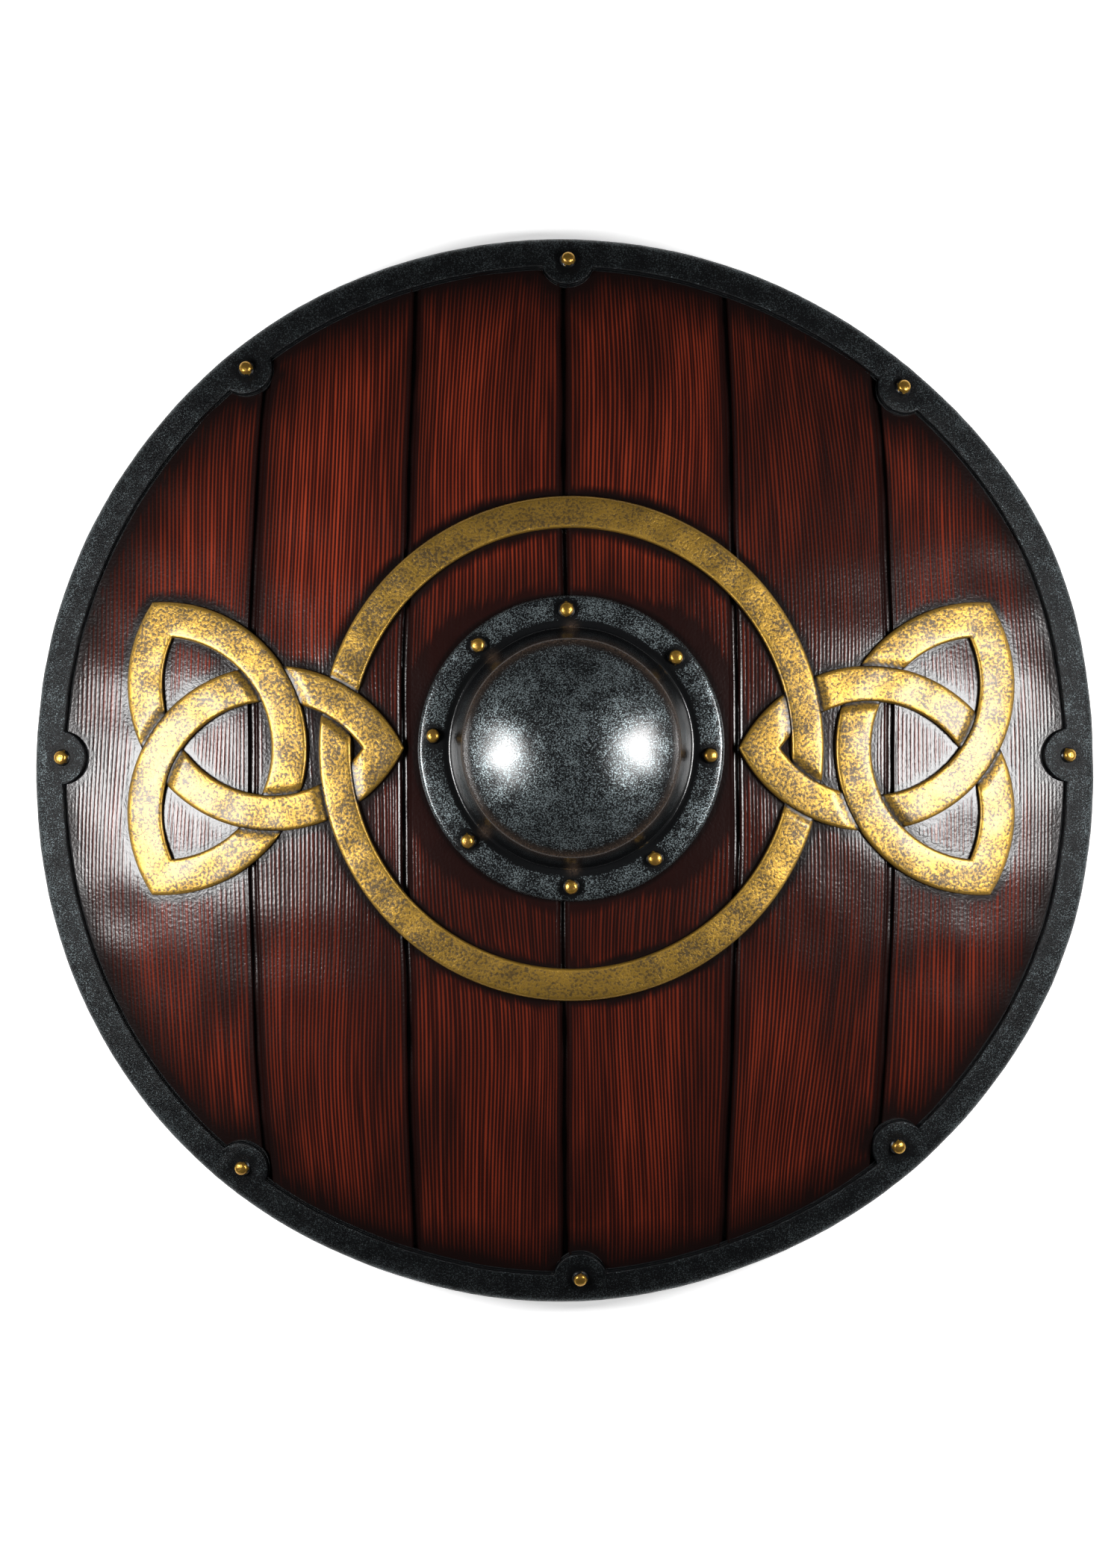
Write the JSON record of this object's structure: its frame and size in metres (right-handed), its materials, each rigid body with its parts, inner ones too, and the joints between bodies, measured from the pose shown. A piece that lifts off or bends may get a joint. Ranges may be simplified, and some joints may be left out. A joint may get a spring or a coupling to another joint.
{
  "type": "foam round shield",
  "caption": "Round centre-grip shield for live role play: dished foam board with a latex skin painted as planks, iron-look rim and boss, gold knotwork, studs and a grip bar at the back.",
  "frame": {"origin": "On the floor, under the middle of the rim's box, with the shield lying on its back", "axes": "+Z out of the face, square to it at its middle; +Y towards the top of the face; +X to the right as the face is seen"},
  "size_m": [0.5966, 0.5998, 0.1159],
  "materials": {
    "plank_skin": "glossy latex skin over foam, painted red-brown and black as grained planks",
    "iron_skin": "satin latex skin over foam, black with fine silver speckle",
    "gold_skin": "latex sponged with gold paint over black",
    "grip_skin": "plain black latex skin"
  },
  "bodies": {
    "root": {"board": "plank_skin", "rim": "iron_skin", "boss": "iron_skin", "emblem": "gold_skin", "grip": "grip_skin", "rim_stud_1": "gold_skin", "rim_stud_2": "gold_skin", "rim_stud_3": "gold_skin", "rim_stud_4": "gold_skin", "rim_stud_5": "gold_skin", "rim_stud_6": "gold_skin", "rim_stud_7": "gold_skin", "rim_stud_8": "gold_skin", "boss_stud_1": "gold_skin", "boss_stud_2": "gold_skin", "boss_stud_3": "gold_skin", "boss_stud_4": "gold_skin", "boss_stud_5": "gold_skin", "boss_stud_6": "gold_skin", "boss_stud_7": "gold_skin", "boss_stud_8": "gold_skin"}
  },
  "joints": []
}
